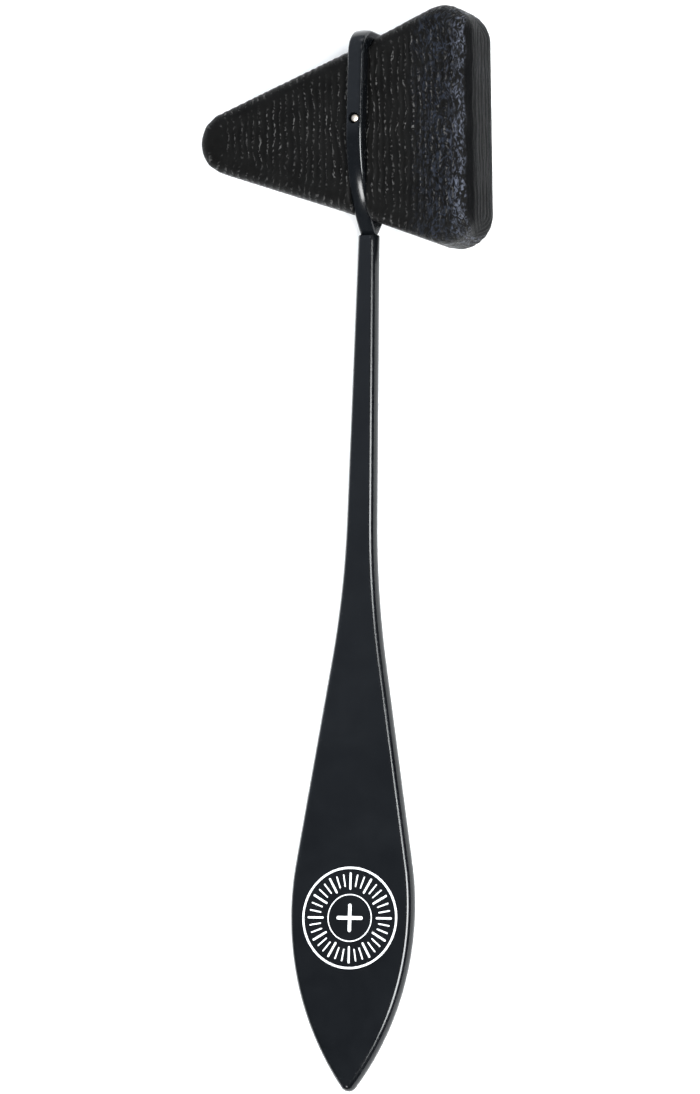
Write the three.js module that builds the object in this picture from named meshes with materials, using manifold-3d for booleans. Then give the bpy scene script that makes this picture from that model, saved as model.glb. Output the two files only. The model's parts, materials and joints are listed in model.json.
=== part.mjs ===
// Reflex hammer: a flat metal handle that opens into a loop at its top, a triangular rubber head
// held in the loop, and a cross pin through both.
//
// Millimetres. The hammer is drawn with the handle along +Y from its blade tip, the head's broad
// end towards +X and the handle's printed face towards +Z. It is then laid on a level surface in
// the pose it comes to rest in, with the origin under the middle of its box.

import * as THREE from 'three';
import { ConvexHull } from 'three/addons/math/ConvexHull.js';
import { mergeVertices } from 'three/addons/utils/BufferGeometryUtils.js';
import Module from 'manifold-3d';

const wasm = await Module();
wasm.setup();

const degrees = THREE.MathUtils.degToRad;

// Handle
const OVERALL_LENGTH = 190;        // blade tip to the top of the loop
const HANDLE_THICKNESS = 3;
const SIDE_BULGE = 1.2;            // how far the rounded sides stand out past the flat faces
const BLADE_WIDTH = 21.2;          // flat face at its widest
const BLADE_ARC = 50.7;            // radius of the two arcs that meet at the blade's tip
const BLADE_TIP_ROUNDING = 0.3;
const FLARE_ANGLE = degrees(9.4);  // each side of the blade, to the handle's centre line
const NECK_WIDTH = 1.45;           // flat face just under the loop
const SHANK_ANGLE = degrees(1);    // each side of the shank, to the centre line
const SHANK_BLEND = 13;            // along each side, from the shank into the flare

// Loop
const LOOP_HEIGHT = 37;            // outside, from its pointed foot to its top
const LOOP_DEPTH = 17.6;           // outside, from front to back
const LOOP_TOP_ROUNDING = 4.6;
const LOOP_ARCH = 26.5;            // radius of the two legs' curve towards the neck
const LOOP_FOOT_ROUNDING = 0.7;
const CROTCH_ROUNDING = 0.8;       // inside, between the legs
const STRAP_WIDTH = 3.1;
const STRAP_THICKNESS = 2.8;
const STRAP_EDGE = 0.5;            // rounding of the strap's four edges
const NECK_STEP = 0.8;             // how far the neck's end stands proud of the loop's foot

// Head
const TIP_REACH = 32.3;            // loop's middle to the small rounded end
const BASE_REACH = 21.5;           // loop's middle to the broad end
const BASE_HEIGHT = 43.2;
const TIP_ROUNDING = 5.75;
const BASE_CORNER_ROUNDING = 6;
const HEAD_EDGE_ROUNDING = 3.2;
const FACE_SLOPE = degrees(2.4);   // each broad face, to the head's middle plane
const BULGE_PAST_OPENING = 0.77;   // rubber past the loop's opening, above and below
const SQUEEZE = 0.2;               // rubber past the loop's opening, front and back
const HEAD_DROP = 0.32;            // head's middle below the middle of the loop's opening
const HEAD_TURN = degrees(2.25);   // about the pin, broad end up

// Pin
const PIN_DIAMETER = 1.3;
const PIN_ABOVE_CENTRE = 1.3;      // above the middle of the loop's opening
const PIN_RECESS = 0.35;           // each end, below the loop's outer face
const PIN_END_DOME = 0.12;

// Fits
const STRAP_CLEARANCE = 0.3;       // rubber to loop
const PIN_CLEARANCE = 0.3;         // pin to its holes, all round

// Facets
const ARC_STEPS = 10;              // curve divisions; an arc takes twice as many
const BULGE_STEPS = 6;
const STRAP_EDGE_STEPS = 3;
const HEAD_EDGE_STEPS = 5;
const PIN_SIDES = 24;
const ON_AXIS = 1e-6;              // an outline's points nearer its axis than this aren't mirrored

// Densities, in grams per cubic millimetre, for the pose at rest
const METAL_DENSITY = 7.8e-3;
const RUBBER_DENSITY = 1.2e-3;

const halfDepth = LOOP_DEPTH / 2;
const archCentre = halfDepth - LOOP_ARCH;
const footY = OVERALL_LENGTH - LOOP_HEIGHT;
const springY = footY + archReach(halfDepth, LOOP_ARCH, LOOP_FOOT_ROUNDING);
const openingTopY = OVERALL_LENGTH - STRAP_THICKNESS;
const crotchReach = archReach(halfDepth - STRAP_THICKNESS, LOOP_ARCH - STRAP_THICKNESS, CROTCH_ROUNDING);
const crotchY = springY - crotchReach;
const openingCentreY = (openingTopY + crotchY) / 2;
const pinY = openingCentreY + PIN_ABOVE_CENTRE;

const paint = new THREE.MeshStandardMaterial({ color: 0x23262b, roughness: 0.22, metalness: 0.3 });
const rubber = new THREE.MeshStandardMaterial({ color: 0x201f1f, roughness: 0.55, metalness: 0 });
const nickel = new THREE.MeshStandardMaterial({ color: 0xd8cbb8, roughness: 0.3, metalness: 1 });

/** Distance from an arch's spring line to its rounded point. */
function archReach(halfWidth, radius, rounding) {
  return Math.sqrt((radius - rounding) ** 2 - (radius - halfWidth) ** 2) + rounding;
}

/** Adds half a pointed arch that hangs from `y`: its rounded point, then its arc up to `endAngle`. */
function addArch(path, y, halfWidth, radius, rounding, endAngle) {
  const centreX = halfWidth - radius;
  const drop = archReach(halfWidth, radius, rounding) - rounding;
  const meeting = Math.atan2(-drop, -centreX);
  path.absarc(0, y - drop, rounding, -Math.PI / 2, meeting, false);
  path.absarc(centreX, y, radius, meeting, endAngle, false);
}

/** Closes the right half of an outline, drawn upwards from the centre line, with its mirror image. */
function mirrored(rightHalf) {
  const right = rightHalf.getPoints(ARC_STEPS);
  const offAxis = right.filter((point) => point.x > ON_AXIS);
  const left = offAxis.map((point) => new THREE.Vector2(-point.x, point.y));
  return new THREE.Shape([...right, ...left.reverse()]);
}

/** Extrudes an outline evenly about its own plane, with its edges rounded inside or outside the outline. */
function plate(outline, thickness, { rounding, outwards = rounding, steps, edgeOffset = 0 }) {
  const geometry = new THREE.ExtrudeGeometry(outline, {
    depth: thickness - 2 * rounding,
    bevelThickness: rounding,
    bevelSize: outwards,
    bevelOffset: edgeOffset,
    bevelSegments: steps,
    curveSegments: ARC_STEPS,
  });
  return geometry.translate(0, 0, rounding - thickness / 2);
}

function toSolid(geometry) {
  const bare = geometry.clone();
  bare.deleteAttribute('normal');
  bare.deleteAttribute('uv');
  const merged = mergeVertices(bare);
  return new wasm.Manifold(new wasm.Mesh({
    numProp: 3,
    vertProperties: merged.attributes.position.array,
    triVerts: Uint32Array.from(merged.index.array),
  }));
}

function toMesh(name, solid, material) {
  const { vertProperties, triVerts } = solid.getMesh();
  const geometry = new THREE.BufferGeometry();
  geometry.setAttribute('position', new THREE.BufferAttribute(vertProperties, 3));
  geometry.setIndex(new THREE.BufferAttribute(triVerts, 1));
  geometry.computeVertexNormals();
  const mesh = new THREE.Mesh(geometry, material);
  mesh.name = name;
  return mesh;
}

/** A round rod along Z through the pin's place. */
function crossRod(radius, length) {
  const rod = new THREE.CylinderGeometry(radius, radius, length, PIN_SIDES);
  return toSolid(rod.rotateX(Math.PI / 2).translate(0, pinY, 0));
}

/** Half the loop's outline, seen from the side, drawn `inset` inside its outer face. */
function loopHalf(inset, footRounding) {
  const half = new THREE.Path();
  const topRounding = LOOP_TOP_ROUNDING - inset;
  addArch(half, springY, halfDepth - inset, LOOP_ARCH - inset, footRounding, 0);
  const shoulderY = OVERALL_LENGTH - LOOP_TOP_ROUNDING;
  half.absarc(halfDepth - LOOP_TOP_ROUNDING, shoulderY, topRounding, 0, Math.PI / 2, false);
  half.lineTo(0, OVERALL_LENGTH - inset);
  return half;
}

/** The strap bent into the loop, its width along X. */
function makeLoop() {
  const outline = mirrored(loopHalf(0, LOOP_FOOT_ROUNDING));
  outline.holes.push(mirrored(loopHalf(STRAP_THICKNESS, CROTCH_ROUNDING)));
  const strap = plate(outline, STRAP_WIDTH, {
    rounding: STRAP_EDGE,
    steps: STRAP_EDGE_STEPS,
    edgeOffset: -STRAP_EDGE,
  });
  return toSolid(strap.rotateY(Math.PI / 2));
}

/** The flat bar from the pointed blade up through the shank to the neck. */
function makeBar() {
  const halfBlade = BLADE_WIDTH / 2;
  const widestY = SIDE_BULGE + archReach(halfBlade, BLADE_ARC, BLADE_TIP_ROUNDING);
  const flareStart = new THREE.Vector2(
    halfBlade - BLADE_ARC + BLADE_ARC * Math.cos(FLARE_ANGLE),
    widestY + BLADE_ARC * Math.sin(FLARE_ANGLE),
  );
  const stepHalfDepth = HANDLE_THICKNESS / 2 - NECK_STEP;
  const neckY = springY - Math.sqrt(LOOP_ARCH ** 2 - (stepHalfDepth - archCentre) ** 2);
  const neck = new THREE.Vector2(NECK_WIDTH / 2, neckY);

  // The shank's side and the blade's side are straight lines that meet at `corner`.
  const shankLean = Math.tan(SHANK_ANGLE);
  const flareLean = Math.tan(FLARE_ANGLE);
  const cornerY =
    (neck.x - flareStart.x + neck.y * shankLean - flareStart.y * flareLean) / (shankLean - flareLean);
  const corner = new THREE.Vector2(neck.x + (neck.y - cornerY) * shankLean, cornerY);
  const flareEnd = corner.clone().add(new THREE.Vector2(Math.sin(FLARE_ANGLE), -Math.cos(FLARE_ANGLE))
    .multiplyScalar(SHANK_BLEND));
  const shankStart = corner.clone().add(new THREE.Vector2(-Math.sin(SHANK_ANGLE), Math.cos(SHANK_ANGLE))
    .multiplyScalar(SHANK_BLEND));

  const half = new THREE.Path();
  addArch(half, widestY, halfBlade, BLADE_ARC, BLADE_TIP_ROUNDING, FLARE_ANGLE);
  half.lineTo(flareEnd.x, flareEnd.y);
  half.quadraticCurveTo(corner.x, corner.y, shankStart.x, shankStart.y);
  half.lineTo(neck.x, neck.y);
  const bar = toSolid(plate(mirrored(half), HANDLE_THICKNESS, {
    rounding: HANDLE_THICKNESS / 2,
    outwards: SIDE_BULGE,
    steps: BULGE_STEPS,
  }));
  return bar.trimByPlane([0, -1, 0], -neckY);
}

function makeHandle() {
  const pinHole = crossRod(PIN_DIAMETER / 2 + PIN_CLEARANCE, 2 * LOOP_DEPTH);
  return makeBar().add(makeLoop()).subtract(pinHole);
}

/** The point where a tangent from `from` touches a circle; `side`, 1 or -1, picks the tangent. */
function tangentPoint(from, centre, radius, side) {
  const toCentre = centre.clone().sub(from);
  const along = Math.sqrt(toCentre.lengthSq() - radius ** 2);
  const spread = side * Math.asin(radius / toCentre.length());
  return from.clone().add(toCentre.rotateAround(new THREE.Vector2(), spread).setLength(along));
}

/** The triangle of the head in its middle plane, with the loop's plane at x = 0. */
function headOutline() {
  const waist = new THREE.Vector2(0, (openingTopY - crotchY) / 2 + BULGE_PAST_OPENING);
  const tipCentre = new THREE.Vector2(TIP_ROUNDING - TIP_REACH, 0);
  const baseCentre = new THREE.Vector2(
    BASE_REACH - BASE_CORNER_ROUNDING,
    BASE_HEIGHT / 2 - BASE_CORNER_ROUNDING,
  );
  const tipTouch = tangentPoint(waist, tipCentre, TIP_ROUNDING, -1);
  const baseTouch = tangentPoint(waist, baseCentre, BASE_CORNER_ROUNDING, 1);
  const tipAngle = tipTouch.clone().sub(tipCentre).angle();
  const baseAngle = baseTouch.clone().sub(baseCentre).angle();

  const outline = new THREE.Shape();
  outline.absarc(tipCentre.x, tipCentre.y, TIP_ROUNDING, tipAngle, 2 * Math.PI - tipAngle, false);
  outline.lineTo(waist.x, -waist.y);
  outline.absarc(baseCentre.x, -baseCentre.y, BASE_CORNER_ROUNDING, -baseAngle, 0, false);
  outline.absarc(baseCentre.x, baseCentre.y, BASE_CORNER_ROUNDING, 0, baseAngle, false);
  outline.lineTo(waist.x, waist.y);
  outline.closePath();
  return outline;
}

/** The rubber wedge, thicker towards its broad end, waisted where the loop grips it. */
function makeHead() {
  const gripHalf = halfDepth - STRAP_THICKNESS + SQUEEZE;
  const wedge = plate(headOutline(), 2 * gripHalf, {
    rounding: HEAD_EDGE_ROUNDING,
    steps: HEAD_EDGE_STEPS,
    edgeOffset: -HEAD_EDGE_ROUNDING,
  });
  const place = wedge.attributes.position;
  for (let i = 0; i < place.count; i += 1) {
    place.setZ(i, place.getZ(i) * (1 + place.getX(i) * Math.tan(FACE_SLOPE) / gripHalf));
  }
  wedge.translate(0, openingCentreY - HEAD_DROP - pinY, 0).rotateZ(HEAD_TURN).translate(0, pinY, 0);

  const grooveWidth = STRAP_WIDTH + 2 * STRAP_CLEARANCE;
  const groove = new THREE.BoxGeometry(grooveWidth, 2 * LOOP_HEIGHT, 2 * LOOP_DEPTH);
  const waistOutline = mirrored(loopHalf(STRAP_THICKNESS + STRAP_CLEARANCE, CROTCH_ROUNDING));
  const waist = new THREE.ExtrudeGeometry(waistOutline, {
    depth: 2 * grooveWidth,
    bevelEnabled: false,
    curveSegments: ARC_STEPS,
  });
  waist.translate(0, 0, -grooveWidth).rotateY(Math.PI / 2);
  const around = toSolid(groove.translate(0, openingCentreY, 0)).subtract(toSolid(waist));
  const bore = crossRod(PIN_DIAMETER / 2 + PIN_CLEARANCE, 2 * LOOP_DEPTH);
  return toSolid(wedge).subtract(around).subtract(bore);
}

/** A plain rod with slightly domed ends. */
function makePin() {
  const radius = PIN_DIAMETER / 2;
  const halfLength = halfDepth - PIN_RECESS;
  const side = halfLength - PIN_END_DOME;
  const profile = new THREE.Path();
  profile.moveTo(0, -halfLength);
  profile.quadraticCurveTo(radius, -halfLength, radius, -side);
  profile.lineTo(radius, side);
  profile.quadraticCurveTo(radius, halfLength, 0, halfLength);
  const rod = new THREE.LatheGeometry(profile.getPoints(BULGE_STEPS), PIN_SIDES);
  return toSolid(rod.rotateX(Math.PI / 2).translate(0, pinY, 0));
}

/** Centre of mass of [solid geometry, density] pairs. */
function centreOfMass(weighted) {
  const centre = new THREE.Vector3();
  let total = 0;
  for (const [{ attributes, index }, density] of weighted) {
    for (let i = 0; i < index.count; i += 3) {
      const [a, b, c] = [0, 1, 2].map((k) =>
        new THREE.Vector3().fromBufferAttribute(attributes.position, index.getX(i + k)));
      const mass = density * a.dot(b.clone().cross(c)) / 6;
      centre.addScaledVector(a.add(b).add(c), mass / 4);
      total += mass;
    }
  }
  return centre.divideScalar(total);
}

/** Outward normal of the hull facet, on the back, that the centre of mass stands over. */
function restingNormal(group, centre) {
  const hull = new ConvexHull().setFromObject(group);
  const under = hull.faces.find((face) => {
    const corners = [0, 1, 2].map((k) => face.getEdge(k).head().point);
    const foot = centre.clone().addScaledVector(face.normal, -face.distanceToPoint(centre));
    return face.normal.z < -0.9 && new THREE.Triangle(...corners).containsPoint(foot);
  });
  return under.normal;
}

const handle = toMesh('handle', makeHandle(), paint);
const head = toMesh('rubber_head', makeHead(), rubber);
const pin = toMesh('cross_pin', makePin(), nickel);

const hammer = new THREE.Group();
hammer.add(handle, head, pin);

const centre = centreOfMass([
  [handle.geometry, METAL_DENSITY],
  [head.geometry, RUBBER_DENSITY],
  [pin.geometry, METAL_DENSITY],
]);
const down = new THREE.Vector3(0, 0, -1);
hammer.quaternion.setFromUnitVectors(restingNormal(hammer, centre), down);
const box = new THREE.Box3().setFromObject(hammer, true);
const middle = box.getCenter(new THREE.Vector3());
hammer.position.set(-middle.x, -middle.y, -box.min.z);

const root = new THREE.Group();
root.add(hammer);

export default root;
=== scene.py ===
"""Looks of the reflex hammer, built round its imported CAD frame.

Lengths named here are in millimetres along the hammer's own axes: x towards the head's broad
end, y along the handle from the blade's tip, z out of the printed face. `to_world` carries them
into the row frame, in which the hammer lies tilted on the floor.
"""

import json
import math

import bmesh
import bpy
import numpy as np
from mathutils import Matrix, Vector
from mathutils.kdtree import KDTree


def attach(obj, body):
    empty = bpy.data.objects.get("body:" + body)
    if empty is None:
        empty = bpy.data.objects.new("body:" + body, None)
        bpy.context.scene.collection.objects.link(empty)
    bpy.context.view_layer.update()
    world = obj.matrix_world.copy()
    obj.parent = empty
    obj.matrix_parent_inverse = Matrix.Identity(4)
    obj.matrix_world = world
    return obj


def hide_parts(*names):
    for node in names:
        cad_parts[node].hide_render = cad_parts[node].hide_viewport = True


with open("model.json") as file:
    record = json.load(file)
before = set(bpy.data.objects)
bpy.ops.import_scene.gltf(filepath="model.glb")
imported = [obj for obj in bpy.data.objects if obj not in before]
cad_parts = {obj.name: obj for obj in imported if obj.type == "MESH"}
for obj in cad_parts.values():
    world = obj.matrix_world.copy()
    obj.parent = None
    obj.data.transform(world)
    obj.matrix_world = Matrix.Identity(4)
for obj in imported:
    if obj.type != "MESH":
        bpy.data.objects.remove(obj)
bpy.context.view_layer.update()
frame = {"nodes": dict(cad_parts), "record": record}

MM = 0.001
SEED = 7
INSET = 0.005           # keeps the finer curves inside the facets that they replace
SAME_PLACE = 1e-5       # corners closer than this are one
STRAP_GAP = 0.02        # between the rubber and the loop
BORE_GAP = 0.03         # between the rubber and the pin
HOLE_GAP = 0.3          # between the pin and the loop

# Handle
SIDE_BULGE = 1.2
BLADE_ARC = 50.7
BLADE_TIP_ROUNDING = 0.3
FLARE_ANGLE = math.radians(9.4)
NECK_WIDTH = 1.45
NECK_EDGE = 0.22        # rounding of the neck's cut end
FACE_BORDER = 0.2       # flat strip of each face inside the rounded sides
SHANK_ANGLE = math.radians(1)
SHANK_BLEND = 13.0

# Loop
LOOP_HEIGHT = 37.0
LOOP_TOP_ROUNDING = 4.6
LOOP_ARCH = 26.5
LOOP_FOOT_ROUNDING = 0.7
CROTCH_ROUNDING = 0.8
STRAP_WIDTH = 3.1
STRAP_THICKNESS = 2.8
STRAP_EDGE = 0.5
STRAP_CROWN = math.radians(9)   # slope of the strap's slightly domed outer face at its edges
STRAP_BORDER = 0.25     # flat strip beside each of the strap's roundings
HOLE_CHAMFER = 0.12
NECK_STEP = 0.8

# Head
TIP_REACH = 32.3
BASE_REACH = 21.5
BASE_HEIGHT = 43.2
TIP_ROUNDING = 5.75
BASE_CORNER_ROUNDING = 6.0
HEAD_EDGE_ROUNDING = 3.2
FACE_SLOPE = math.radians(2.4)
BULGE_PAST_OPENING = 0.77
SQUEEZE = 0.2
HEAD_DROP = 0.32
HEAD_TURN = math.radians(2.25)
RIB_PITCH = 1.3
RIB_DEPTH = 0.13
RIB_DRIFT = 0.28        # how far a rib wanders from its straight line
RIB_FADE = 1.6          # from the plain edge of a face to full ribs
PLAIN_BORDER = 0.9
PLAIN_TIP = 4.5
PLAIN_TIP_FADE = 4
LIP_WIDTH = 0.7         # where the rubber rolls over beside the strap
LIP_DEPTH = 0.45

# Pin
PIN_DOME = 0.14
PIN_CHAMFER = 0.05

# Print
PRINT_Y = 30.8
INK = 0.03
INK_LIFT = 0.002
OUTER_RING = (8.72, 9.1, 160)       # inside, outside, sides
INNER_RING = (4.05, 4.25, 120)
TICKS = 36
LONG_TICK_EVERY = 3
LONG_TICK = (5.2, 7.9, 0.19)        # start, end, half width
SHORT_TICK = (5.7, 7.7, 0.13)
PLUS_ARM = 2.2
PLUS_HALF_WIDTH = 0.32

# How finely curves are cut
TIP_STEPS = 8
BLADE_STEPS = 90
FLARE_STEPS = 20
BLEND_STEPS = 16
SHANK_STEPS = 60
NECK_STEPS = 4
SIDE_STEPS = 32
FOOT_STEPS = 8
LEG_STEPS = 40
LEG_SIDE_STEPS = 24
SHOULDER_STEPS = 20
LOOP_TOP_STEPS = 8
CROWN_STEPS = 4
OUTER_EDGE_STEPS = 7
INNER_EDGE_STEPS = 6
HOLE_SIDES = 64
HEAD_TIP_STEPS = 30
HEAD_RISE_STEPS = 140
HEAD_FALL_STEPS = 64
HEAD_CORNER_STEPS = 46
HEAD_EDGE_STEPS = 18
HEAD_SIDE_STEPS = 25
HEAD_RUNGS = 34
BORE_SIDES = 32
PIN_SIDES = 48
PIN_END_STEPS = 8
PIN_SIDE_STEPS = 12
TICK_END_STEPS = 6
PLUS_END_STEPS = 8

# The hammer's own axes, from the two flat faces of its blade
mounts = {mount["name"]: mount for mount in frame["record"]["mounts"]}
front_face = Vector(mounts["blade_front"]["pos_m"])
back_face = Vector(mounts["blade_back"]["pos_m"])
tilt = Vector((0, 0, 1)).rotation_difference(Vector(mounts["blade_front"]["axis"])).to_matrix()


def span(node):
    """Lowest and highest corner of a CAD node along the hammer's own axes, in metres."""
    co = np.array([v.co for v in frame["nodes"][node].data.vertices]) @ np.array(tilt)
    return co.min(0), co.max(0)


handle_low, handle_high = span("handle")
pin_low, pin_high = span("cross_pin")
handle_size = (handle_high - handle_low) / MM
middle_x = (handle_low[0] + handle_high[0]) / 2
middle_z = (tilt.transposed() @ ((front_face + back_face) / 2)).z
origin = tilt @ Vector((middle_x, handle_low[1], middle_z))
to_world = Matrix.Translation(origin) @ tilt.to_4x4() @ Matrix.Scale(MM, 4)

OVERALL_LENGTH = float(handle_size[1])
LOOP_DEPTH = float(handle_size[2])
BLADE_WIDTH = float(handle_size[0]) - 2 * SIDE_BULGE
HANDLE_THICKNESS = (front_face - back_face).length / MM
PIN_LENGTH = float(pin_high[2] - pin_low[2]) / MM
PIN_DIAMETER = float(pin_high[0] - pin_low[0]) / MM
PIN_Y = float((pin_low[1] + pin_high[1]) / 2 - handle_low[1]) / MM


def arch_reach(half_width, radius, rounding):
    return math.sqrt((radius - rounding) ** 2 - (radius - half_width) ** 2) + rounding


half_depth = LOOP_DEPTH / 2
foot_y = OVERALL_LENGTH - LOOP_HEIGHT
spring_y = foot_y + arch_reach(half_depth, LOOP_ARCH, LOOP_FOOT_ROUNDING)
opening_top = OVERALL_LENGTH - STRAP_THICKNESS
crotch_y = spring_y - arch_reach(half_depth - STRAP_THICKNESS, LOOP_ARCH - STRAP_THICKNESS,
                                 CROTCH_ROUNDING)
opening_y = (opening_top + crotch_y) / 2


# Meshes ------------------------------------------------------------------------------------


def arc(centre, radius, start, end, steps):
    """Points on an arc and their outward normals."""
    angle = np.linspace(start, end, steps + 1)
    normal = np.stack([np.cos(angle), np.sin(angle)], 1)
    return np.array(centre) + radius * normal, normal


def line(start, end, steps, side=1):
    """Points along a line, both ends left out, and the normals on its left, or right for -1."""
    start, end = np.array(start, float), np.array(end, float)
    share = np.linspace(0, 1, steps + 1)[1:-1, None]
    along = (end - start) / np.linalg.norm(end - start)
    return start + (end - start) * share, np.tile([-along[1] * side, along[0] * side], (len(share), 1))


def joined(*parts):
    return np.concatenate([p for p, n in parts]), np.concatenate([n for p, n in parts])


def from_grids(name, grids):
    """A closed mesh object from (rows, columns, xyz) grids that meet along their borders."""
    points, quads, first = [], [], 0
    for grid in grids:
        rows, columns = grid.shape[:2]
        points.append(grid.reshape(-1, 3))
        at = np.arange(rows * columns).reshape(rows, columns) + first
        quads.append(np.stack([at[:-1, :-1], at[1:, :-1], at[1:, 1:], at[:-1, 1:]], 2).reshape(-1, 4))
        first += rows * columns
    points = np.concatenate(points)
    quads = np.concatenate(quads)
    _, index, inverse = np.unique(np.round(points, 4), axis=0, return_index=True, return_inverse=True)
    quads = inverse.reshape(-1)[quads]
    faces = []
    for quad in quads.tolist():
        corners = [c for k, c in enumerate(quad) if c != quad[k - 1]]
        if len(set(corners)) > 2:
            faces.append(corners)
    return from_faces(name, points[index], faces)


def from_faces(name, points, faces):
    mesh = bpy.data.meshes.new(name)
    mesh.from_pydata(points, [], faces)
    work = bmesh.new()
    work.from_mesh(mesh)
    bmesh.ops.recalc_face_normals(work, faces=work.faces)
    work.to_mesh(mesh)
    work.free()
    made = bpy.data.objects.new(name, mesh)
    bpy.context.scene.collection.objects.link(made)
    return made


def slab(edge, normal, profile, rungs, shrink=0):
    """Grids of a closed plate, symmetric about the first axis of its outline.

    `edge` runs from the axis at the plate's narrow end to the upper corner of its square end.
    `profile` is (outwards, height) from the lower face to the upper one, and `shrink` is how far
    inside it the plate stays at each point of the edge.
    """
    shrink = np.broadcast_to(shrink, len(edge))[:, None]
    out = profile[None, :, 0] - shrink
    height = profile[None, :, 1] * (1 - shrink / profile[:, 1].max())
    flat = edge[:, None, :] + out[:, :, None] * normal[:, None, :]
    wall = np.concatenate([flat, height[:, :, None]], 2)
    other = wall * [1, -1, 1]
    share = np.linspace(0, 1, rungs + 1)[None, :, None]
    caps = [wall[:, k][:, None] * (1 - share) + other[:, k][:, None] * share for k in (0, -1)]
    share = share.reshape(-1, 1, 1)
    end = wall[-1][None] * (1 - share) + other[-1][None] * share
    return [wall, other, end, *caps]


def revolved(profile, sides):
    """Grid of a closed solid of revolution about Z from its (radius, height) profile."""
    turn = np.linspace(0, 2 * math.pi, sides + 1)
    turn[-1] = 0
    radius, height = profile[:, 0, None], profile[:, 1, None]
    return np.stack([radius * np.cos(turn), radius * np.sin(turn), height + 0 * turn], 2)


def combine(piece, tool, operation):
    """Joins `tool` to `piece` or cuts it away, and removes the tool."""
    step = piece.modifiers.new(operation, "BOOLEAN")
    step.operation = operation
    step.solver = "EXACT"
    step.object = tool
    bake(piece)
    bpy.data.objects.remove(tool)
    drop_flaps(piece)


def bake(piece):
    """Replaces a piece's mesh with the result of its modifiers."""
    graph = bpy.context.evaluated_depsgraph_get()
    mesh = bpy.data.meshes.new_from_object(piece.evaluated_get(graph))
    piece.modifiers.clear()
    piece.data = mesh


def drop_flaps(piece):
    """Cuts faces into triangles and removes those that a boolean left lying back to back."""
    work = bmesh.new()
    work.from_mesh(piece.data)
    bmesh.ops.remove_doubles(work, verts=work.verts, dist=SAME_PLACE)
    bmesh.ops.triangulate(work, faces=work.faces)
    twins = {}
    for face in work.faces:
        twins.setdefault(frozenset(face.verts), []).append(face)
    flaps = [face for pair in twins.values() if len(pair) > 1 for face in pair]
    bmesh.ops.delete(work, geom=flaps, context="FACES")
    work.to_mesh(piece.data)
    work.free()


def vertices(piece):
    co = np.empty(len(piece.data.vertices) * 3)
    piece.data.vertices.foreach_get("co", co)
    return co.reshape(-1, 3)


def vertex_normals(piece):
    out = np.empty(len(piece.data.vertices) * 3)
    piece.data.vertex_normals.foreach_get("vector", out)
    return out.reshape(-1, 3)


def move_vertices(piece, co):
    piece.data.vertices.foreach_set("co", np.ascontiguousarray(co).reshape(-1))
    piece.data.update()


def attribute(piece, name, values, kind):
    made = piece.data.attributes.new(name, kind, "POINT")
    key = "vector" if kind == "FLOAT_VECTOR" else "value"
    made.data.foreach_set(key, np.ascontiguousarray(values, dtype=float).reshape(-1))


def mark_edges(piece, full_turn):
    """Stores 0 to 1 in "edge": how sharply the surface turns outwards at each vertex."""
    work = bmesh.new()
    work.from_mesh(piece.data)
    turn = [min(max((e.calc_face_angle_signed(0.0) for e in v.link_edges), default=0) / full_turn, 1)
            for v in work.verts]
    work.free()
    attribute(piece, "edge", np.maximum(turn, 0), "FLOAT")


def smooth(piece, sharp_angle, weighted):
    for face in piece.data.polygons:
        face.use_smooth = True
    piece.data.set_sharp_from_angle(angle=sharp_angle)
    if weighted:
        step = piece.modifiers.new("normals", "WEIGHTED_NORMAL")
        step.weight = 90
        step.keep_sharp = True


def settle(piece, node):
    """Puts a finished piece in the row frame, hides the CAD part that it replaces, and hangs it under
    the root body.
    """
    piece.data.transform(to_world)
    if node:
        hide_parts(node)
    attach(piece, "root")


# Materials ---------------------------------------------------------------------------------


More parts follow.
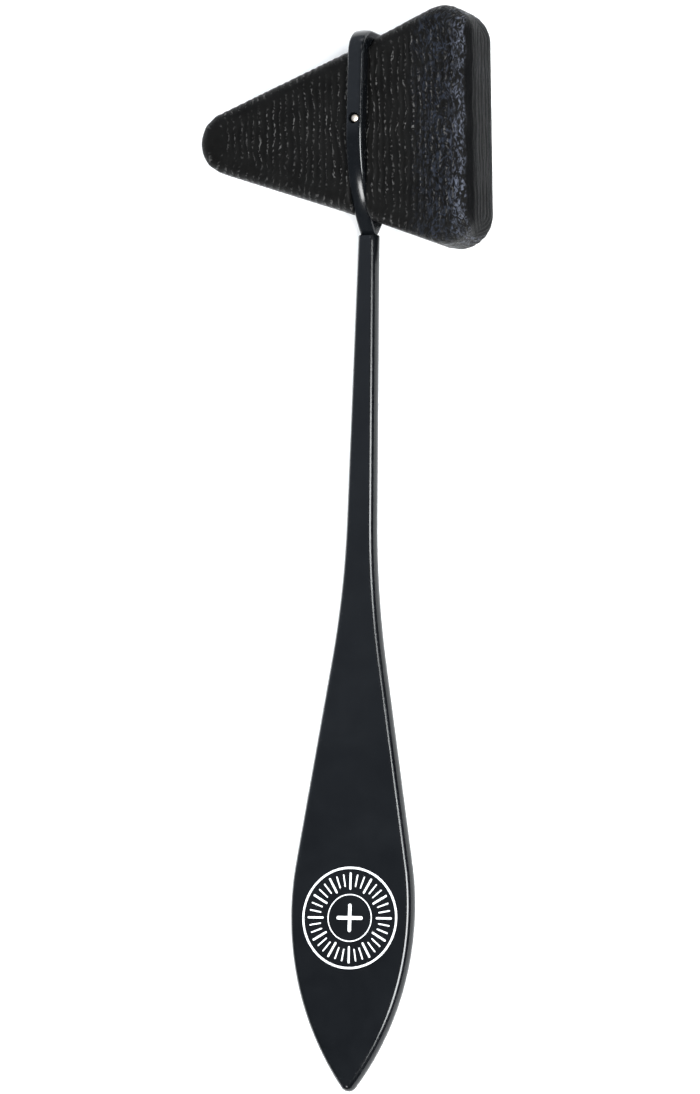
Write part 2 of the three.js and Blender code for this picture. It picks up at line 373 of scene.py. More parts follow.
class Tree:
    """Short calls for building one material's nodes."""

    def __init__(self, name):
        self.material = bpy.data.materials.new(name)
        self.material.use_nodes = True
        self.nodes = self.material.node_tree.nodes
        self.links = self.material.node_tree.links
        self.shader = self.nodes["Principled BSDF"]

    def add(self, kind, inputs=(), **settings):
        made = self.nodes.new("ShaderNode" + kind)
        for key, value in settings.items():
            setattr(made, key, value)
        self.feed(made, dict(inputs))
        return made

    def feed(self, made, inputs):
        for key, value in inputs.items():
            if isinstance(value, bpy.types.NodeSocket):
                self.links.new(value, made.inputs[key])
            else:
                made.inputs[key].default_value = value

    def math(self, operation, *values, clamp=False):
        made = self.add("Math", enumerate(values), operation=operation, use_clamp=clamp)
        return made.outputs[0]

    def attribute(self, name):
        return self.add("Attribute", attribute_name=name)

    def place(self):
        """Where a point is, in millimetres along the row frame's axes."""
        objects = self.add("TexCoord").outputs["Object"]
        return self.add("VectorMath", {0: objects, 3: 1 / MM}, operation="SCALE").outputs[0]

    def noise(self, vector, size, detail=2.0, roughness=0.5, distortion=0.0):
        """Noise of 0 to 1 whose features are about `size` mm across."""
        return self.add("TexNoise", {"Vector": vector, "Scale": 1 / size, "Detail": detail,
                                     "Roughness": roughness, "Distortion": distortion}).outputs[0]

    def stretched(self, vector, scale):
        return self.add("VectorMath", {0: vector, 1: scale}, operation="MULTIPLY").outputs[0]

    def remap(self, value, low, high, to_low=0.0, to_high=1.0, interpolation="LINEAR"):
        return self.add("MapRange", {0: value, 1: low, 2: high, 3: to_low, 4: to_high},
                        interpolation_type=interpolation).outputs[0]

    def colour(self, factor, start, end):
        ramp = self.add("ValToRGB", {0: factor}).color_ramp
        ramp.elements[0].color = (*start, 1)
        ramp.elements[1].color = (*end, 1)
        return self.nodes[-1].outputs[0]

    def mix(self, factor, first, second):
        made = self.add("Mix", {0: factor, 6: first, 7: second}, data_type="RGBA")
        return made.outputs[2]

    def bump(self, height, distance_mm, strength=1.0, below=None):
        inputs = {"Height": height, "Distance": distance_mm * MM, "Strength": strength}
        if below:
            inputs["Normal"] = below
        return self.add("Bump", inputs).outputs[0]

    def finish(self, **inputs):
        self.feed(self.shader, {key.replace("_", " "): value for key, value in inputs.items()})
        return self.material


def gloss_black_paint():
    """Gloss enamel with a faint orange peel, wiping marks, and worn spots on its edges."""
    t = Tree("gloss_black_paint")
    at = t.place()
    peel = t.noise(at, 1.6, 1.0)
    dust = t.noise(at, 0.35, 2.0)
    smudge = t.noise(at, 9.0, 4.0, 0.55, 0.4)
    wipes = t.noise(t.stretched(at, (1.0, 0.12, 1.0)), 1.3, 3.0)
    edge = t.attribute("edge").outputs["Fac"]
    chips = t.remap(t.noise(at, 0.5, 4.0, 0.65), 0.56, 0.66)
    wear = t.math("MULTIPLY", t.math("MULTIPLY", edge, chips), 0.35)
    shade = t.colour(t.remap(smudge, 0.35, 0.7), (0.0026, 0.0032, 0.0040), (0.0042, 0.0050, 0.0060))
    base = t.mix(wear, shade, (0.045, 0.047, 0.050, 1))
    sheen = t.math("ADD", t.remap(smudge, 0.3, 0.75, 0.10, 0.17), t.remap(wipes, 0.3, 0.7, 0.0, 0.04))
    rough = t.math("ADD", sheen, t.math("MULTIPLY", wear, 0.5), clamp=True)
    rough = t.math("ADD", rough, t.remap(dust, 0.4, 0.7, 0.0, 0.02), clamp=True)
    return t.finish(Base_Color=base, Roughness=rough, Normal=t.bump(peel, 0.0014), IOR=1.43)


def black_rubber():
    """Painted glints in rows of pale dashes on the ribs, a painted blue sheen by the base, and painted
    shade with streaks on its end.
    """
    t = Tree("black_rubber")
    at = t.place()
    mould = t.attribute("mould").outputs["Vector"]
    across, along, face = t.add("SeparateXYZ", {0: mould}).outputs
    flat = t.add("CombineXYZ", {0: across, 1: along, 2: 0.0}).outputs[0]
    past_face = t.math("SUBTRACT", across, BASE_REACH - HEAD_EDGE_ROUNDING)
    skin = t.noise(at, 0.25, 3.0, 0.6)
    crinkle = t.noise(t.stretched(flat, (1.0, 0.5, 1.0)), 0.6, 3.0, 0.6, 1.2)
    edge = t.attribute("edge").outputs["Fac"]

    # Dashes: raised bumps along the rib crests, coloured pale as painted glints where the ribs would
    # catch the key light
    wobble = t.math("MULTIPLY", t.math("SUBTRACT", t.noise(flat, 2.4, 2.0), 0.5), 1.5)
    phase = t.math("MULTIPLY", t.math("ADD", across, wobble), 2 * math.pi / RIB_PITCH)
    crest = t.remap(t.math("COSINE", phase), 0.4, 1.0, interpolation="SMOOTHSTEP")
    breaks = t.noise(t.stretched(flat, (1.0, 0.8, 1.0)), 0.5, 1.0, 0.5, 0.5)
    dash = t.math("MULTIPLY", crest, t.remap(breaks, 0.47, 0.62, interpolation="SMOOTHSTEP"))
    patches = t.remap(t.noise(at, 3.5, 3.0, 0.6), 0.38, 0.6, 0.12, 1.0)
    on_face = t.math("MULTIPLY", face, t.remap(past_face, 1.1, 2.3, 1.0, 0.1))
    glint_dashes = t.math("MULTIPLY", t.math("MULTIPLY", dash, on_face), patches)

    # Painted highlight: a pale blue-grey sheen on the face by the base, brightest towards its rounded
    # edge, where the surface turns towards the lights
    near_base = t.math("MULTIPLY", t.remap(past_face, -9.3, -4.3, 0.0, 1.0, "SMOOTHSTEP"),
                       t.remap(past_face, 1.9, 2.6, 1.0, 0.0, "SMOOTHSTEP"))
    strokes = t.remap(crinkle, 0.46, 0.66, interpolation="SMOOTHSTEP")
    cloud = t.remap(t.noise(at, 3.0, 3.0, 0.6), 0.35, 0.6, 0.3, 1.0)
    painted_sheen = t.math("MULTIPLY", near_base, t.math("MULTIPLY", strokes, cloud))
    glow = t.remap(past_face, -1.8, 1.9, 0.0, 1.0, "SMOOTHSTEP")
    blue = t.colour(glow, (0.022, 0.026, 0.037), (0.105, 0.114, 0.146))

    # Base end: painted shade, a dark band just past the face's rounding and a darkened end face, with
    # streaks on the end
    groove_and_shade_band = t.math("MULTIPLY", t.remap(past_face, 2.1, 2.6), t.remap(past_face, 3.9, 5.1, 1.0, 0.0))
    round_end = t.remap(past_face, 2.5, 4.1, 0.0, 1.0, "SMOOTHSTEP")
    streaks = t.noise(t.stretched(flat, (1.0, 0.07, 1.0)), 0.55, 2.0, 0.5, 0.3)
    streak = t.math("MULTIPLY", round_end, t.remap(streaks, 0.5, 0.66))

    base = t.colour(t.remap(t.noise(at, 4.0, 5.0, 0.6), 0.3, 0.7),
                    (0.0034, 0.0033, 0.0032), (0.0062, 0.0061, 0.0059))
    # painted highlight: the blue-grey sheen by the base
    base = t.mix(t.math("MULTIPLY", painted_sheen, 0.95), base, blue)
    # painted highlight: pale glints along the rib crests
    base = t.mix(t.math("MULTIPLY", glint_dashes, 0.9), base, (0.094, 0.092, 0.090, 1))
    # painted shade: the end face darkened
    base = t.mix(t.math("MULTIPLY", round_end, 0.85), base, (0.0008, 0.0010, 0.0013, 1))
    base = t.mix(t.math("MULTIPLY", streak, 0.5), base, (0.010, 0.011, 0.013, 1))
    # painted shade: a dark band just past the face's rounding
    base = t.mix(t.math("MULTIPLY", groove_and_shade_band, 0.9), base, (0.0006, 0.0007, 0.0010, 1))
    base = t.mix(t.math("MULTIPLY", edge, 0.15), base, (0.012, 0.012, 0.012, 1))

    rough = t.math("SUBTRACT", t.remap(skin, 0.3, 0.7, 0.38, 0.50), t.math("MULTIPLY", glint_dashes, 0.12))
    rough = t.math("SUBTRACT", rough, t.math("MULTIPLY", painted_sheen, 0.14))
    rough = t.math("ADD", rough, t.remap(past_face, 2.1, 4.2, 0.0, 0.1, "SMOOTHSTEP"), clamp=True)

    creased = t.math("MULTIPLY", crinkle, t.math("ADD", t.math("MULTIPLY", near_base, 0.8), 0.2))
    normal = t.bump(skin, 0.012)
    normal = t.bump(creased, 0.45, 1.0, below=normal)
    normal = t.bump(glint_dashes, 0.30, 1.0, below=normal)
    normal = t.bump(streak, 0.12, 1.0, below=normal)
    return t.finish(Base_Color=base, Roughness=rough, Normal=normal, IOR=1.13)


def nickel_plate():
    """Warm, slightly tarnished metal, brighter on its edges."""
    t = Tree("nickel_plate")
    at = t.place()
    grain = t.noise(at, 0.12, 3.0)
    tarnish = t.remap(t.noise(at, 0.7, 3.0), 0.4, 0.7)
    edge = t.attribute("edge").outputs["Fac"]
    base = t.colour(tarnish, (0.97, 0.88, 0.76), (0.80, 0.68, 0.55))
    base = t.mix(t.math("MULTIPLY", edge, 0.3), base, (0.95, 0.9, 0.82, 1))
    rough = t.remap(grain, 0.3, 0.7, 0.36, 0.48)
    return t.finish(Base_Color=base, Metallic=1.0, Roughness=rough, Normal=t.bump(grain, 0.004))


def white_ink():
    """Printed ink, a little worn."""
    t = Tree("white_ink")
    at = t.place()
    speckle = t.noise(at, 0.18, 3.0, 0.6)
    worn = t.remap(t.noise(at, 1.1, 4.0, 0.6), 0.62, 0.72)
    base = t.colour(t.math("MULTIPLY", worn, speckle), (0.80, 0.81, 0.82), (0.30, 0.31, 0.32))
    rough = t.remap(speckle, 0.3, 0.7, 0.42, 0.6)
    return t.finish(Base_Color=base, Roughness=rough, Normal=t.bump(speckle, 0.004))


# Handle ------------------------------------------------------------------------------------


def bar_edge():
    """Right half of the bar's outline as (y, x): blade tip, blade, shank and neck."""
    half_blade = BLADE_WIDTH / 2
    drop = arch_reach(half_blade, BLADE_ARC, BLADE_TIP_ROUNDING) - BLADE_TIP_ROUNDING
    widest_y = SIDE_BULGE + BLADE_TIP_ROUNDING + drop
    meeting = math.pi / 2 + math.atan2(drop, BLADE_ARC - half_blade)
    flare = np.array([widest_y + BLADE_ARC * math.sin(FLARE_ANGLE),
                      half_blade - BLADE_ARC + BLADE_ARC * math.cos(FLARE_ANGLE)])
    step_depth = HANDLE_THICKNESS / 2 - NECK_STEP
    neck_y = spring_y - math.sqrt(LOOP_ARCH ** 2 - (step_depth - (half_depth - LOOP_ARCH)) ** 2)
    neck = np.array([neck_y, NECK_WIDTH / 2])
    shank_lean, flare_lean = math.tan(SHANK_ANGLE), math.tan(FLARE_ANGLE)
    corner_y = (neck[1] - flare[1] + neck[0] * shank_lean - flare[0] * flare_lean) / (
        shank_lean - flare_lean)
    corner = np.array([corner_y, neck[1] + (neck[0] - corner_y) * shank_lean])
    flare_end = corner - SHANK_BLEND * np.array([math.cos(FLARE_ANGLE), -math.sin(FLARE_ANGLE)])
    shank_start = corner + SHANK_BLEND * np.array([math.cos(SHANK_ANGLE), -math.sin(SHANK_ANGLE)])

    tip = arc((widest_y - drop, 0), BLADE_TIP_ROUNDING, math.pi, meeting, TIP_STEPS)
    blade = arc((widest_y, half_blade - BLADE_ARC), BLADE_ARC, meeting, math.pi / 2 - FLARE_ANGLE,
                BLADE_STEPS)
    t = np.linspace(0, 1, BLEND_STEPS + 1)[:, None]
    blend = (1 - t) ** 2 * flare_end + 2 * t * (1 - t) * corner + t ** 2 * shank_start
    angle = (1 - t) * FLARE_ANGLE + t * SHANK_ANGLE
    blend_normal = np.concatenate([np.sin(angle), np.cos(angle)], 1)
    flare_line = line(blade[0][-1], flare_end, FLARE_STEPS)
    turn = np.linspace(0, math.pi / 2, NECK_STEPS + 1)
    end = neck - NECK_EDGE * np.stack([1 - np.sin(turn), 0 * turn], 1)
    end_normal = np.tile([math.sin(SHANK_ANGLE), math.cos(SHANK_ANGLE)], (len(turn), 1))
    shank_line = line(shank_start, end[0], SHANK_STEPS)
    points, normals = joined((tip[0][:-1], tip[1][:-1]), blade, flare_line, (blend, blend_normal),
                             shank_line, (end, end_normal))
    shrink = np.zeros(len(points))
    shrink[-len(turn):] = NECK_EDGE * (1 - np.cos(turn))
    return points, normals, shrink


def bar_profile():
    """(outwards, height) of the bar's rounded sides, with a narrow flat border on each face."""
    angle = np.linspace(-math.pi / 2, math.pi / 2, SIDE_STEPS + 1)
    side = np.stack([SIDE_BULGE * np.cos(angle), HANDLE_THICKNESS / 2 * np.sin(angle)], 1)
    border = [FACE_BORDER, 0]
    return np.concatenate([[side[0] - border], side, [side[-1] - border]])


def loop_grids():
    """The strap bent into the loop: a rounded rectangle carried round the opening."""
    top_centre = (half_depth - LOOP_TOP_ROUNDING, OVERALL_LENGTH - LOOP_TOP_ROUNDING)
    legs = []
    for inset, rounding in ((0, LOOP_FOOT_ROUNDING), (STRAP_THICKNESS, CROTCH_ROUNDING)):
        half_width, radius = half_depth - inset, LOOP_ARCH - inset
        drop = arch_reach(half_width, radius, rounding) - rounding
        centre = half_width - radius
        meeting = math.atan2(-drop, -centre)
        foot = arc((0, spring_y - drop), rounding, -math.pi / 2, meeting, FOOT_STEPS)
        leg = arc((centre, spring_y), radius, meeting, 0, LEG_STEPS)
        side = line((half_width, spring_y), (half_width, top_centre[1]), LEG_SIDE_STEPS, -1)
        shoulder = arc(top_centre, LOOP_TOP_ROUNDING - inset, 0, math.pi / 2, SHOULDER_STEPS)
        height = OVERALL_LENGTH - inset
        top = line((top_centre[0], height), (0, height), LOOP_TOP_STEPS, -1)
        last = (np.array([[0, height]]), np.array([[0.0, 1.0]]))
        points, normals = joined((foot[0][:-1], foot[1][:-1]), leg, side, shoulder, top, last)
        points = np.concatenate([points, points[-2::-1] * [-1, 1]])
        normals = np.concatenate([normals, normals[-2::-1] * [-1, 1]])
        legs.append((points, normals))
    (outer, out_normal), (inner, in_normal) = legs
    half = STRAP_WIDTH / 2
    crown_half = half - STRAP_EDGE * (1 - math.sin(STRAP_CROWN))
    crown = crown_half * math.tan(STRAP_CROWN) / 2
    rows = [(outer, -out_normal, crown * share ** 2, crown_half * share)
            for share in np.arange(CROWN_STEPS) / CROWN_STEPS]
    for angle in np.linspace(STRAP_CROWN, math.pi / 2, OUTER_EDGE_STEPS + 1):
        sunk = crown + STRAP_EDGE * (math.cos(STRAP_CROWN) - math.cos(angle))
        rows.append((outer, -out_normal, sunk, half - STRAP_EDGE * (1 - math.sin(angle))))
    rows += [(outer, -out_normal, rows[-1][2] + STRAP_BORDER, half),
             (inner, in_normal, STRAP_EDGE + STRAP_BORDER, half)]
    rows += [(inner, in_normal, STRAP_EDGE * (1 - math.cos(angle)),
              half - STRAP_EDGE * (1 - math.sin(angle)))
             for angle in np.linspace(math.pi / 2, 0, INNER_EDGE_STEPS + 1)]
    rows.append((inner, in_normal, 0, half - STRAP_EDGE - STRAP_BORDER))
    ring = []
    for points, towards, depth, x in rows:
        flat = points + towards * depth
        ring.append(np.stack([np.full(len(flat), x), flat[:, 1], flat[:, 0]], 1))
    ring += [row * [-1, 1, 1] for row in ring[::-1]]
    return [np.array(ring)]


def pin_hole():
    """A cutter along the pin, widened where it leaves the loop at front and back."""
    radius = PIN_DIAMETER / 2 + HOLE_GAP
    far = LOOP_DEPTH
    flare = half_depth - HOLE_CHAMFER
    wide = radius + HOLE_CHAMFER
    profile = [(0, -far), (wide, -far), (wide, -half_depth), (radius, -flare),
               (radius, flare), (wide, half_depth), (wide, far), (0, far)]
    grid = revolved(np.array(profile, float), HOLE_SIDES) + [0, PIN_Y, 0]
    return from_grids("pin_hole", [grid])


def make_handle():
    edge, normal, shrink = bar_edge()
    plate = slab(edge, normal, bar_profile(), rungs=4, shrink=shrink)
    grids = [grid[:, :, [1, 0, 2]] for grid in plate]
    handle = from_grids("painted_handle", grids)
    combine(handle, from_grids("loop", loop_grids()), "UNION")
    combine(handle, pin_hole(), "DIFFERENCE")
    move_vertices(handle, vertices(handle) - INSET * vertex_normals(handle))
    smooth(handle, sharp_angle=math.radians(38), weighted=True)
    mark_edges(handle, full_turn=math.radians(14))
    handle.data.materials.clear()
    handle.data.materials.append(gloss_black_paint())
    settle(handle, "handle")


# Head --------------------------------------------------------------------------------------


def tangent_point(start, centre, radius, side):
    """Where a line from `start` touches a circle, to the left of its centre or right for -1."""
    to_centre = Vector(centre) - Vector(start)
    along = math.sqrt(to_centre.length_squared - radius ** 2)
    spread = side * math.asin(radius / to_centre.length)
    turned = Matrix.Rotation(spread, 2) @ to_centre
    return np.array(Vector(start) + turned.normalized() * along)


def head_edge():
    """Upper half of the head's outline as (x, y) about the loop's middle, from tip to base."""
    waist = (0.0, (opening_top - crotch_y) / 2 + BULGE_PAST_OPENING)
    tip_centre = (TIP_ROUNDING - TIP_REACH, 0.0)
    base_centre = (BASE_REACH - BASE_CORNER_ROUNDING, BASE_HEIGHT / 2 - BASE_CORNER_ROUNDING)
    tip_touch = tangent_point(waist, tip_centre, TIP_ROUNDING, -1)
    base_touch = tangent_point(waist, base_centre, BASE_CORNER_ROUNDING, 1)
    tip_angle = math.atan2(tip_touch[1] - tip_centre[1], tip_touch[0] - tip_centre[0])
    base_angle = math.atan2(base_touch[1] - base_centre[1], base_touch[0] - base_centre[0])
    tip = arc(tip_centre, TIP_ROUNDING, math.pi, tip_angle, HEAD_TIP_STEPS)
    corner = arc(base_centre, BASE_CORNER_ROUNDING, base_angle, 0, HEAD_CORNER_STEPS)
    rise = line(tip[0][-1], waist, HEAD_RISE_STEPS)
    fall = line(waist, corner[0][0], HEAD_FALL_STEPS)
    middle = (np.array([waist]), (rise[1][-1:] + fall[1][:1]) / 2)
    return joined(tip, rise, middle, fall, corner)


def head_profile(grip_half):
    """(outwards, height) round the head's side, from the lower face to the upper one."""
    radius = HEAD_EDGE_ROUNDING
    turn = np.linspace(0, math.pi / 2, HEAD_EDGE_STEPS + 1)
    flat = np.linspace(-(grip_half - radius), grip_half - radius, HEAD_SIDE_STEPS + 1)[1:-1]
    low = np.stack([radius * np.sin(turn) - radius, -(grip_half - radius) - radius * np.cos(turn)], 1)
    return np.concatenate([low, np.stack([0 * flat, flat], 1), low[::-1] * [1, -1]])


def waves(points, size, rng):
    """Smooth seeded noise of about -1 to 1 over (n, 2) points, features about `size` mm."""
    total = np.zeros(len(points))
    count = 14
    for _ in range(count):
        angle, phase = rng.uniform(0, 2 * math.pi, 2)
        pace = 2 * math.pi / (size * rng.uniform(0.7, 1.8))
        total += np.sin(pace * (points @ [math.cos(angle), math.sin(angle)]) + phase)
    return total / math.sqrt(count / 2) / 1.6


def mould_field(edge, normal, profile):
    """(u, v, face) for each point of the head's grids.

    u counts ribs from the tip along a face and on round the ends, and v runs along the ribs.
    face is 1 where the ribs are full and 0 in the plain border where the faces round over.
    """
    girth = np.concatenate([[0], np.cumsum(np.linalg.norm(np.diff(profile, axis=0), axis=1))])
    girth -= girth[-1] / 2
    past = girth[-1] - np.abs(girth)
    inset = edge - HEAD_EDGE_ROUNDING * normal
    u = inset[:, :1] + np.maximum(normal[:, :1], 0) ** 2 * past[None]
    v = inset[:, 1:] + past[None] * np.maximum(normal[:, 1:], 0)
    face = 1 - np.exp(-((past - PLAIN_BORDER) / PLAIN_BORDER) ** 2) + 0 * u
    wall = np.stack([u, v, face], 2)

    share = np.linspace(0, 1, HEAD_RUNGS + 1)
    rungs = (HEAD_RUNGS + 1, len(past))
    end = np.stack([np.broadcast_to(u[-1][None], rungs),
                    inset[-1, 1] * (1 - 2 * share)[:, None] + 0 * past[None],
                    np.broadcast_to(face[-1][None], rungs)], 2)
    rung = inset[:, 1:] * (1 - 2 * share)[None]
    to_edge = inset[:, 1:] - np.abs(rung)
    to_tip = inset[:, :1] + TIP_REACH
    on_cap = np.clip(to_edge / RIB_FADE, 0, 1) * np.clip((to_tip - PLAIN_TIP) / PLAIN_TIP_FADE, 0, 1)
    cap = np.stack([inset[:, :1] + 0 * rung, rung, on_cap], 2)
    return [wall, wall * [1, -1, 1], end, cap, cap]


def nearest(points, targets):
    """Which point is closest to each target."""
    tree = KDTree(len(points))
    for k, point in enumerate(points):
        tree.insert(point, k)
    tree.balance()
    return [tree.find(target)[1] for target in targets]


def press_ribs(co, outward, field, rng):
    """Ribs pressed inwards, so that the outline stays."""
    drift = RIB_DRIFT * waves(co[:, :2], 7.0, rng)
    strength = np.clip(0.62 + 0.4 * waves(co[:, :2], 5.0, rng), 0.1, 1)
    field[:, 0] += drift
    rib = 0.5 - 0.5 * np.cos(2 * math.pi * field[:, 0] / RIB_PITCH)
    co -= outward * (RIB_DEPTH * rib * strength * field[:, 2])[:, None]


def turn_about_pin(co):
    """Moves the head from its own middle to its place in the loop."""
    x, y = co[:, 0].copy(), co[:, 1] + opening_y - HEAD_DROP - PIN_Y
    c, s = math.cos(HEAD_TURN), math.sin(HEAD_TURN)
    co[:, 0], co[:, 1] = c * x - s * y, s * x + c * y + PIN_Y


def roll_lips(co, outward):
    """Rolls the rubber over where it dips under the strap."""
    near = np.clip(1 - (np.abs(co[:, 0]) - STRAP_WIDTH / 2) / LIP_WIDTH, 0, 1)
    co -= outward * (LIP_DEPTH * (1 - np.sqrt(1 - np.minimum(near, 0.999) ** 2)))[:, None]


def cut_waist(head):
    """Cuts away what the strap takes up, and the pin's bore."""
    width = STRAP_WIDTH + 2 * STRAP_GAP
    place = Matrix.Translation((0, opening_y, 0))
    block = bpy.data.meshes.new("groove_and_shade_band")
    work = bmesh.new()
    bmesh.ops.create_cube(
        work, size=1, matrix=place @ Matrix.Diagonal((width, 2 * LOOP_HEIGHT, 2 * LOOP_DEPTH, 1)))
    work.to_mesh(block)
    work.free()
    groove_and_shade_band = bpy.data.objects.new("groove_and_shade_band", block)
    bpy.context.scene.collection.objects.link(groove_and_shade_band)
    combine(groove_and_shade_band, waist_core(2 * width), "DIFFERENCE")
    combine(head, groove_and_shade_band, "DIFFERENCE")
    radius, far = PIN_DIAMETER / 2 + BORE_GAP, LOOP_DEPTH
    bore = revolved(np.array([(0, -far), (radius, -far), (radius, far), (0, far)]), BORE_SIDES)
    combine(head, from_grids("bore", [bore + [0, PIN_Y, 0]]), "DIFFERENCE")


def make_head():
    rng = np.random.default_rng(SEED)
    grip_half = half_depth - STRAP_THICKNESS + SQUEEZE
    edge, normal = head_edge()
    profile = head_profile(grip_half)
    grids = slab(edge, normal, profile, HEAD_RUNGS)
    places = np.concatenate([grid.reshape(-1, 3) for grid in grids])
    field = np.concatenate([grid.reshape(-1, 3) for grid in mould_field(edge, normal, profile)])

    head = from_grids("rubber_wedge", grids)
    co, outward = vertices(head), vertex_normals(head)
    field = field[nearest(places, co)]
    press_ribs(co, outward, field, rng)
    co[:, 2] *= 1 + co[:, 0] * math.tan(FACE_SLOPE) / grip_half
    turn_about_pin(co)
    roll_lips(co, outward)
    co -= INSET * outward
    move_vertices(head, co)

    cut_waist(head)
    attribute(head, "mould", field[nearest(co, vertices(head))], "FLOAT_VECTOR")
    smooth(head, sharp_angle=math.radians(50), weighted=False)
    mark_edges(head, full_turn=math.radians(60))
    head.data.materials.clear()
    head.data.materials.append(black_rubber())
    settle(head, "rubber_head")


def waist_core(width):
    """What the rubber keeps inside the loop's opening."""
    inset = STRAP_THICKNESS + STRAP_GAP
    radius, half_width = LOOP_ARCH - inset, half_depth - inset
    rounding = CROTCH_ROUNDING
    drop = arch_reach(half_width, radius, rounding) - rounding
    centre = half_width - radius
    meeting = math.atan2(-drop, -centre)
    top_centre = (half_depth - LOOP_TOP_ROUNDING, OVERALL_LENGTH - LOOP_TOP_ROUNDING)
    foot, _ = arc((0, spring_y - drop), rounding, -math.pi / 2, meeting, FOOT_STEPS)
    leg, _ = arc((centre, spring_y), radius, meeting, 0, LEG_STEPS)
    shoulder, _ = arc(top_centre, LOOP_TOP_ROUNDING - inset, 0, math.pi / 2, SHOULDER_STEPS)
    half = np.concatenate([foot[:-1], leg, shoulder])
    ring = np.concatenate([half, half[:0:-1] * [-1, 1]])
    count = len(ring)
    points = [(side * width / 2, y, z) for side in (-1, 1) for z, y in ring]
    faces = [[k, (k + 1) % count, count + (k + 1) % count, count + k] for k in range(count)]
    faces += [list(range(count)), list(range(count, 2 * count))]
    return from_faces("waist", points, faces)


# Pin and print -----------------------------------------------------------------------------


def make_pin():
    """A turned rod with domed ends and a fine chamfer."""
    radius, shoulder = PIN_DIAMETER / 2, PIN_LENGTH / 2 - PIN_DOME
    foot = shoulder - PIN_CHAMFER
    across = np.linspace(0, 1, PIN_END_STEPS + 1)
    end = np.stack([across * (radius - PIN_CHAMFER), PIN_LENGTH / 2 - PIN_DOME * across ** 2], 1)
    bevel = np.array([(radius - 0.3 * PIN_CHAMFER, shoulder - 0.35 * PIN_CHAMFER), (radius, foot)])
    body = np.linspace(1, -1, PIN_SIDE_STEPS + 1)[1:-1, None] * [[0, foot]] + [[radius, 0]]
    side = np.concatenate([end, bevel])
    profile = np.concatenate([side, body, side[::-1] * [1, -1]])
    pin = from_grids("nickel_pin", [revolved(profile, PIN_SIDES) + [0, PIN_Y, 0]])
    smooth(pin, sharp_angle=math.radians(50), weighted=False)
    mark_edges(pin, full_turn=math.radians(40))
    pin.data.materials.append(nickel_plate())
    settle(pin, "cross_pin")


def make_print():
    """A plain round emblem on the blade: two rings, a circle of ticks and a plus sign."""
    base = HANDLE_THICKNESS / 2 + INK_LIFT
    top = base + INK
    points, faces = [], []

    def band(inner, outer, sides):
        first = len(points)
        for k in range(sides):
            angle = 2 * math.pi * k / sides
            for radius, z in ((inner, base), (outer, base), (outer, top), (inner, top)):
                points.append((radius * math.cos(angle), radius * math.sin(angle) + PRINT_Y, z))
        for k in range(sides):
            a, b = first + 4 * k, first + 4 * ((k + 1) % sides)
            faces.extend([a + i, a + (i + 1) % 4, b + (i + 1) % 4, b + i] for i in range(4))

    def prism(outline):
        first, count = len(points), len(outline)
        points.extend((x, y + PRINT_Y, z) for z in (base, top) for x, y in outline)
        faces.extend([first + k, first + (k + 1) % count, first + count + (k + 1) % count,
                      first + count + k] for k in range(count))
        faces.append([first + k for k in range(count)][::-1])
        faces.append([first + count + k for k in range(count)])

    def capsule(start, end, half_width):
        (x0, y0), (x1, y1) = start, end
        along = math.atan2(y1 - y0, x1 - x0)
        far, _ = arc(end, half_width, along - math.pi / 2, along + math.pi / 2, TICK_END_STEPS)
        near, _ = arc(start, half_width, along + math.pi / 2, along + 1.5 * math.pi, TICK_END_STEPS)
        return np.concatenate([far, near]).tolist()

    band(*OUTER_RING)
    band(*INNER_RING)
    for k in range(TICKS):
        angle = 2 * math.pi * k / TICKS
        start, reach, half_width = SHORT_TICK if k % LONG_TICK_EVERY else LONG_TICK
        direction = np.array([math.cos(angle), math.sin(angle)])
        prism(capsule(direction * start, direction * reach, half_width))
    half_width = PLUS_HALF_WIDTH
    plus = []
    for quarter in range(4):
        turn = Matrix.Rotation(quarter * math.pi / 2, 2)
        tip, _ = arc((PLUS_ARM, 0), half_width, -math.pi / 2, math.pi / 2, PLUS_END_STEPS)
        plus += [tuple(turn @ Vector(p)) for p in tip.tolist() + [(half_width, half_width)]]
    prism(plus)
    piece = from_faces("blade_print", points, faces)
    piece.data.materials.append(white_ink())
    settle(piece, None)


# Stage -------------------------------------------------------------------------------------


def camera():
    """A long lens a little to the right of the handle's face and a little below the head."""
    azimuth = math.radians(22.3)
    rise = math.radians(-5)
    lean = math.radians(1.38)
    frame_height = 195.85
    look_at = Vector((0, 97.165, 0))
    shift_left = 2.1
    lens = 200
    sensor = 36

    towards = Vector((math.sin(azimuth) * math.cos(rise), math.sin(rise),
                      math.cos(azimuth) * math.cos(rise)))
    level_up = (Vector((0, 1, 0)) - towards * towards.y).normalized()
    level_right = level_up.cross(towards)
    up = level_up * math.cos(lean) - level_right * math.sin(lean)
    right = up.cross(towards)
    distance = frame_height * lens / sensor
    place = look_at - right * shift_left + towards * distance
    turn = Matrix((right, up, towards)).transposed()

    data = bpy.data.cameras.new("camera")
    data.lens = lens
    data.sensor_width = sensor
    data.clip_start = 0.05
    data.clip_end = 20
    made = bpy.data.objects.new("camera", data)
    made.matrix_world = Matrix.LocRotScale(to_world @ place, (tilt @ turn).to_quaternion(), None)
    bpy.context.scene.collection.objects.link(made)
    bpy.context.scene.camera = made


def softbox(name, target, towards, distance, width, height, radiance, colour=(1, 1, 1)):
    """A plain rectangular light, in metres, seen from `target` in the direction `towards`.

    Its width is level across the hammer, and its height runs the hammer's way.
    """
    data = bpy.data.lights.new(name, "AREA")
    data.shape = "RECTANGLE"
    data.size = width
    data.size_y = height
    data.color = colour
    data.energy = radiance * math.pi * width * height
    made = bpy.data.objects.new(name, data)
    direction = Vector(towards).normalized()
    across = Vector((0, 1, 0)).cross(direction).normalized()
    turn = Matrix((across, direction.cross(across), direction)).transposed()
    place = target + tilt @ direction * distance
    made.matrix_world = Matrix.LocRotScale(place, (tilt @ turn).to_quaternion(), None)
    made.visible_camera = False
    bpy.context.scene.collection.objects.link(made)


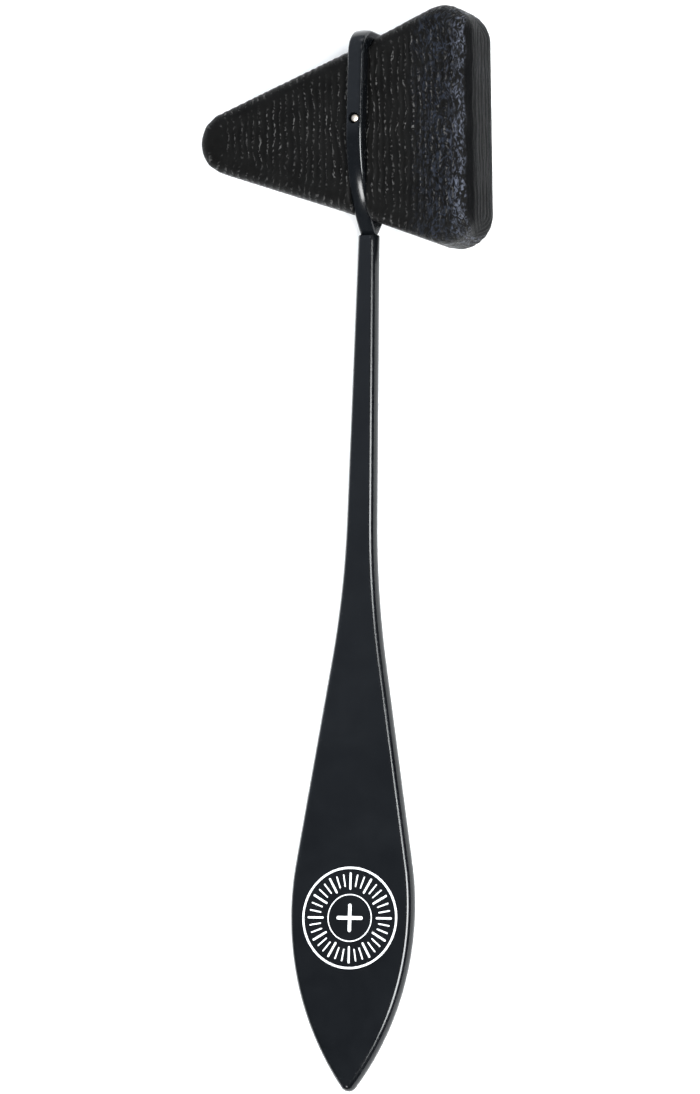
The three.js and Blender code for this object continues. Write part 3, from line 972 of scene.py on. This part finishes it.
def floor():
    """Plain and pale. It glows a little all over, which washes out the hammer's shadows, and more in
    its far part, so that it runs into the backdrop.
    """
    size = 6.0
    glow_from, glow_to = 250.0, 900.0
    data = bpy.data.meshes.new("floor")
    data.from_pydata([(-size, -size, 0), (size, -size, 0), (size, size, 0), (-size, size, 0)],
                     [], [(0, 1, 2, 3)])
    made = bpy.data.objects.new("floor", data)
    bpy.context.scene.collection.objects.link(made)
    t = Tree("pale_floor")
    at = t.place()
    mottle = t.noise(at, 60.0, 3.0)
    distance = t.add("VectorMath", {0: at}, operation="LENGTH").outputs["Value"]
    glow = t.remap(distance, glow_from, glow_to, 0.15, 0.85, "SMOOTHSTEP")
    data.materials.append(t.finish(
        Base_Color=t.colour(mottle, (0.90, 0.90, 0.90), (0.93, 0.93, 0.93)), Roughness=0.9,
        Emission_Color=(1, 1, 1, 1), Emission_Strength=glow))
    t.shader.inputs["Specular IOR Level"].default_value = 0.1


def sky():
    """A pale room that darkens towards the hammer's broad side and towards its blade."""
    world = bpy.data.worlds.new("world")
    bpy.context.scene.world = world
    world.use_nodes = True
    nodes, links = world.node_tree.nodes, world.node_tree.links

    def remap(value, low, high, to_low, to_high):
        made = nodes.new("ShaderNodeMapRange")
        made.interpolation_type = "SMOOTHSTEP"
        links.new(value, made.inputs[0])
        for k, number in enumerate((low, high, to_low, to_high)):
            made.inputs[k + 1].default_value = number
        return made.outputs[0]

    def times(first, second):
        made = nodes.new("ShaderNodeMath")
        made.operation = "MULTIPLY"
        links.new(first, made.inputs[0])
        links.new(second, made.inputs[1])
        return made.outputs[0]

    split = nodes.new("ShaderNodeSeparateXYZ")
    links.new(nodes.new("ShaderNodeTexCoord").outputs["Generated"], split.inputs[0])
    sideways = remap(split.outputs[0], -0.20, 0.20, 0.63, 0.02)
    lengthwise = remap(split.outputs[1], -0.07, 0.14, 0.30, 1.0)
    room = nodes["Background"]
    room.inputs[0].default_value = (0.85, 0.93, 1.08, 1)
    links.new(times(sideways, lengthwise), room.inputs[1])
    backdrop = nodes.new("ShaderNodeBackground")
    backdrop.inputs[0].default_value = (0.93, 0.94, 0.95, 1)
    swap = nodes.new("ShaderNodeMixShader")
    links.new(nodes.new("ShaderNodeLightPath").outputs["Is Camera Ray"], swap.inputs[0])
    links.new(room.outputs[0], swap.inputs[1])
    links.new(backdrop.outputs[0], swap.inputs[2])
    links.new(swap.outputs[0], nodes["World Output"].inputs[0])


def lights():
    head_at = to_world @ Vector((0, 172, 0))
    blade_at = to_world @ Vector((0, 90, 0))
    softbox("key", blade_at, (0.485, -0.12, 0.875), 1.3, 0.62, 0.75, 26.0, (0.96, 0.99, 1.0))
    softbox("over", blade_at, (0.15, 0.58, 0.8), 1.3, 0.5, 0.4, 2.0)
    softbox("arch", head_at, (-0.18, -0.68, 0.72), 1.2, 0.22, 0.30, 22.0)
    softbox("top", head_at, (0.1, 0.93, 0.35), 1.2, 0.8, 0.3, 1.8)
    sky()
    bpy.context.scene.view_settings.view_transform = "Standard"


camera()
make_handle()
make_head()
make_pin()
make_print()
floor()
lights()
